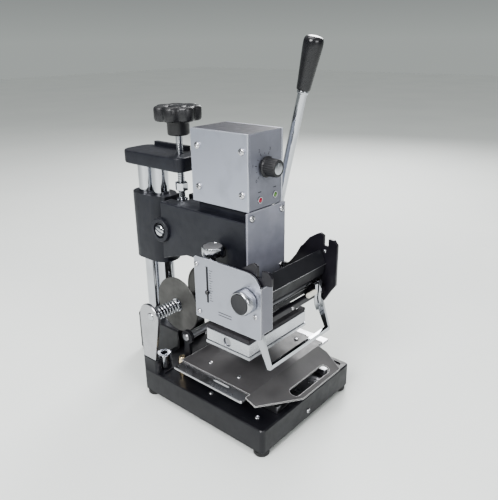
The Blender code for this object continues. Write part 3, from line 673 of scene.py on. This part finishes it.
def numeral(text, centre):
    """A digit in Blender's own font, facing the front."""
    curve = bpy.data.curves.new("numeral", "FONT")
    curve.body = text
    curve.size = 4.4 * MM
    curve.extrude = 0.03 * MM
    curve.align_x = "CENTER"
    curve.align_y = "CENTER"
    curve.resolution_u = 3
    item = bpy.data.objects.new("numeral_text", curve)
    bpy.context.scene.collection.objects.link(item)
    mesh = bake(item)
    bpy.data.objects.remove(item, do_unlink=True)
    mesh.transform(Matrix.Translation(place(centre)) @ FACING["-Y"])
    return mesh


def make_front_scale():
    """Ticks and numbers 0 to 5 round the temperature dial, and a dash over each lamp."""
    x, z = DIAL_AXIS
    low, high = DIAL_FACE_Y - 0.03, DIAL_FACE_Y + 0.03
    first, step_angle, number_radius = 225, 27, 18.2
    for step in range(11):
        angle = math.radians(first - step_angle * step)
        numbered = step % 2 == 0
        tick = brick(-0.32, 0.32, low, high, 12.2, 15.2 if numbered else 13.8)
        lean = Matrix.Rotation(angle - math.pi / 2, 3, "Y").inverted()
        bmesh.ops.rotate(tick, cent=(0, 0, 0), matrix=lean, verts=tick.verts)
        bmesh.ops.translate(tick, vec=(x, 0, z), verts=tick.verts)
        printed(f"dial_tick_{step + 1:02d}", to_mesh("tick", tick))
        if numbered:
            centre = (x + number_radius * math.cos(angle), DIAL_FACE_Y - 0.01,
                      z + number_radius * math.sin(angle))
            printed(f"dial_number_{step // 2}", numeral(str(step // 2), centre))
    for name, x, z in (("mark_red", -10, 249), ("mark_green", 14, 250)):
        printed(name, to_mesh(name, brick(x - 2.4, x + 2.4, low, high, z - 0.5, z + 0.5)))


def make_guide_scale():
    """Graduations beside the slider's slot, dark strips along it, and two lines low on the plate."""
    low, high = GUIDE_FACE_X - 0.02, GUIDE_FACE_X + 0.02
    for step in range(13):
        z = 142 + 2.75 * step
        reach = 4.6 if step % 4 == 0 else 2.8
        tick = brick(low, high, -4.6 - reach, -4.6, z - 0.28, z + 0.28)
        printed(f"guide_tick_{step + 1:02d}", to_mesh("tick", tick))
    for number, y in enumerate((-3.1, -1.9)):
        strip = brick(low, high, y, y + 1.7, 138.6, 178.4)
        printed(f"guide_slot_side_{number + 1}", to_mesh("strip", strip))
    for number, z in enumerate((132.5, 129.5)):
        line = brick(low, high, -34, -16, z - 0.4, z + 0.4)
        printed(f"guide_line_{number + 1}", to_mesh("line", line))


def make_trim():
    """Foot bolts, the swivel's washer, the foil unit's baffle, and a painted highlight along the
    apron's crease.
    """
    for number, x in enumerate((-31, 31)):
        bolt = turned([(4.2, 97.9), (4.5, 98.2), (4.5, 100.6), (4.1, 101)], "Y", x, 20, 6)
        add(f"foot_bolt_{number + 1}", to_mesh("bolt", bolt), "frame", "chrome_worn")
    washer = turned([(3.4, 218.2), (6.6, 218.2), (6.6, 219.1), (3.4, 219.1)], "Z", *SCREW_AXIS, 40)
    add("swivel_washer", to_mesh("swivel_washer", washer), "lift_screw", "chrome")
    baffle = brick(-53.3, 53.3, -44.6, -43.8, 121, 149)
    add("inner_baffle", to_mesh("inner_baffle", baffle), "head", "apron_black", (), 0.2)
    # painted highlight: a thin bright rod laid along the apron's crease
    highlight_line = turned([(0.3, -53.3), (0.3, 53.3)], "X", -69.35, 163, 12)
    add("apron_crease_highlight", to_mesh("apron_crease_highlight", highlight_line), "head", "painted_highlight_metal")


def make_clip():
    """Bent spring-steel clip and small roller that steady the foil at the right of the unit."""
    thick, width = 0.7, 5
    outer = [(-64.5, 147), (-68.5, 147), (-70.3, 145), (-70.3, 137), (-69.6, 128), (-70.8, 121),
             (-73, 116)]
    inner = [(y + (thick if y < -65 else 0), z - (thick if z > 146 else 0)) for y, z in outer]
    for number, x in enumerate((33, 40.5)):
        shape = bmesh.new()
        sides = [[shape.verts.new((at, y, z)) for y, z in outer + inner[::-1]] for at in (x, x + width)]
        add(f"foil_clip_{number + 1}", to_mesh("foil_clip", skin(shape, sides)), "head", "chrome",
            (), 0.15)
    roller = turned([(2.4, 17), (2.8, 17.4), (2.8, 31), (2.4, 31.4)], "X", -71.6, 138.5, 40)
    add("foil_guide_roller", to_mesh("foil_guide_roller", roller), "head", "roller_white")


# ---- stage ------------------------------------------------------------------------------
def make_floor():
    finish = Finish("floor", (0.80, 0.82, 0.80), 0.7)
    finish.tint(finish.noise(3, 2), (0.77, 0.79, 0.775)).bump(finish.noise(60, 3), 0.02, 0.2)
    bpy.ops.mesh.primitive_plane_add(size=12, location=(0, 0, 0))
    floor = bpy.context.object
    floor.name = "studio_floor"
    floor.data.materials.append(finishes["floor"])


def make_sky():
    """Soft light from all round: pale at the horizon, dark a little above it, bright overhead."""
    world = bpy.data.worlds.new("studio")
    world.use_nodes = True
    tree = world.node_tree
    background = tree.nodes["Background"]
    background.inputs["Strength"].default_value = 0.55
    direction = tree.nodes.new("ShaderNodeTexCoord")
    parts = tree.nodes.new("ShaderNodeSeparateXYZ")
    shades = tree.nodes.new("ShaderNodeValToRGB")
    stops = shades.color_ramp.elements
    stops[0].position = 0.0
    stops[0].color = (0.62, 0.66, 0.64, 1)
    stops[1].position = 0.75
    stops[1].color = (0.95, 0.98, 0.96, 1)
    stops.new(0.22).color = (0.16, 0.17, 0.19, 1)
    tree.links.new(direction.outputs["Generated"], parts.inputs[0])
    tree.links.new(parts.outputs["Z"], shades.inputs[0])
    tree.links.new(shades.outputs[0], background.inputs["Color"])
    bpy.context.scene.world = world


def light(name, spot, aim, size, power):
    """A rectangular area light, in metres and watts."""
    lamp = bpy.data.lights.new(name, "AREA")
    lamp.shape = "RECTANGLE"
    lamp.size, lamp.size_y = size
    lamp.energy = power
    item = bpy.data.objects.new(name, lamp)
    item.location = spot
    item.rotation_euler = (Vector(aim) - Vector(spot)).to_track_quat("-Z", "Y").to_euler()
    bpy.context.scene.collection.objects.link(item)


def make_lights():
    light("key_left", (-1.3, -0.2, 1.2), (0, 0, 0.15), (0.8, 0.8), 30)
    light("front_fill", (-0.3, -1.5, 0.8), (0, 0, 0.18), (0.8, 0.6), 11)
    light("right_rim", (1.2, 0.5, 1.0), (0, 0, 0.2), (0.5, 0.9), 15)
    light("overhead", (0, 0.1, 1.6), (0, 0, 0), (0.9, 0.9), 9)


def make_camera():
    """The photograph's view: solved from the base, the columns and the control box."""
    azimuth, elevation, roll = math.radians(-49.14), math.radians(20.98), math.radians(-0.67)
    forward = Vector((-math.sin(azimuth) * math.cos(elevation), math.cos(azimuth) * math.cos(elevation),
                      -math.sin(elevation)))
    data = bpy.data.cameras.new("camera")
    data.sensor_width = 36
    data.lens = 39.5
    camera = bpy.data.objects.new("camera", data)
    camera.location = place((-414.6, -364.6, 389.6))
    turn = forward.to_track_quat("-Z", "Y").to_matrix().to_4x4() @ Matrix.Rotation(roll, 4, "Z")
    camera.rotation_euler = turn.to_euler()
    bpy.context.scene.collection.objects.link(camera)
    bpy.context.scene.camera = camera


make_paints()
make_metals()
make_moulded()
dress_plain_nodes()
make_columns()
make_lift_screw()
make_star_knob()
make_grip()
make_dial()
make_feed_knob()
make_release_knob()
make_spool()
make_springs()
make_lamps()
make_fasteners()
make_front_scale()
make_guide_scale()
make_trim()
make_clip()
make_floor()
make_sky()
make_lights()
make_camera()
bpy.context.scene.view_settings.look = "AgX - Medium High Contrast"
